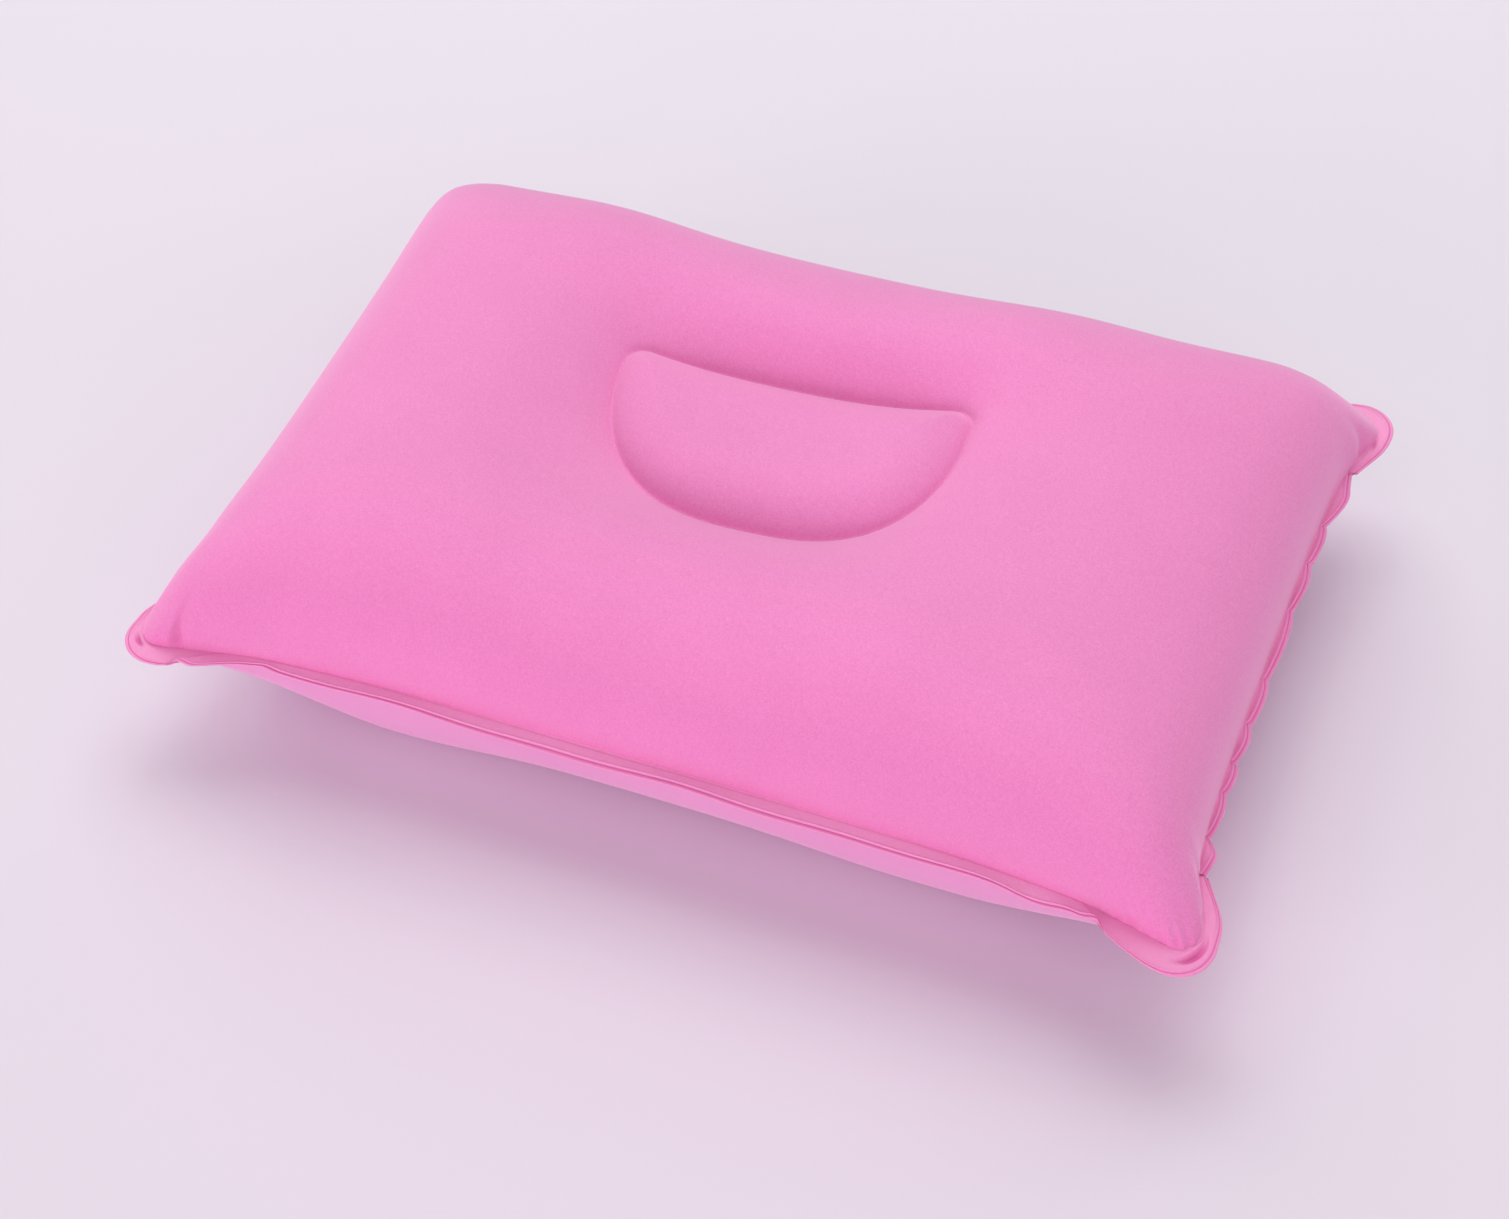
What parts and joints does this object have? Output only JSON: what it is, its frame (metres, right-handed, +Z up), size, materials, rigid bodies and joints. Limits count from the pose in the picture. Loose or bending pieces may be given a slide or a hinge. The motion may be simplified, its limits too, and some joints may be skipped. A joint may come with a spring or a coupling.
{
  "type": "inflatable travel pillow",
  "caption": "Blown-up rectangular travel pillow in pink flocked film, with a half-moon channel sunk in its face and a thin welded rim with small corner ears.",
  "frame": {"origin": "middle of the overall outline, on the surface the pillow lies on", "axes": "+X along the pillow's length, +Y across it towards the flat side of the half-moon channel, +Z up out of its upper face"},
  "size_m": [0.435, 0.2848, 0.1111],
  "materials": {
    "flocked_film": "velvety flocked PVC film, matte",
    "welded_film": "flocked PVC film pressed flat by the weld, with a faint sheen"
  },
  "bodies": {
    "root": {"air_chamber": "flocked_film", "welded_rim": "welded_film"}
  },
  "joints": []
}
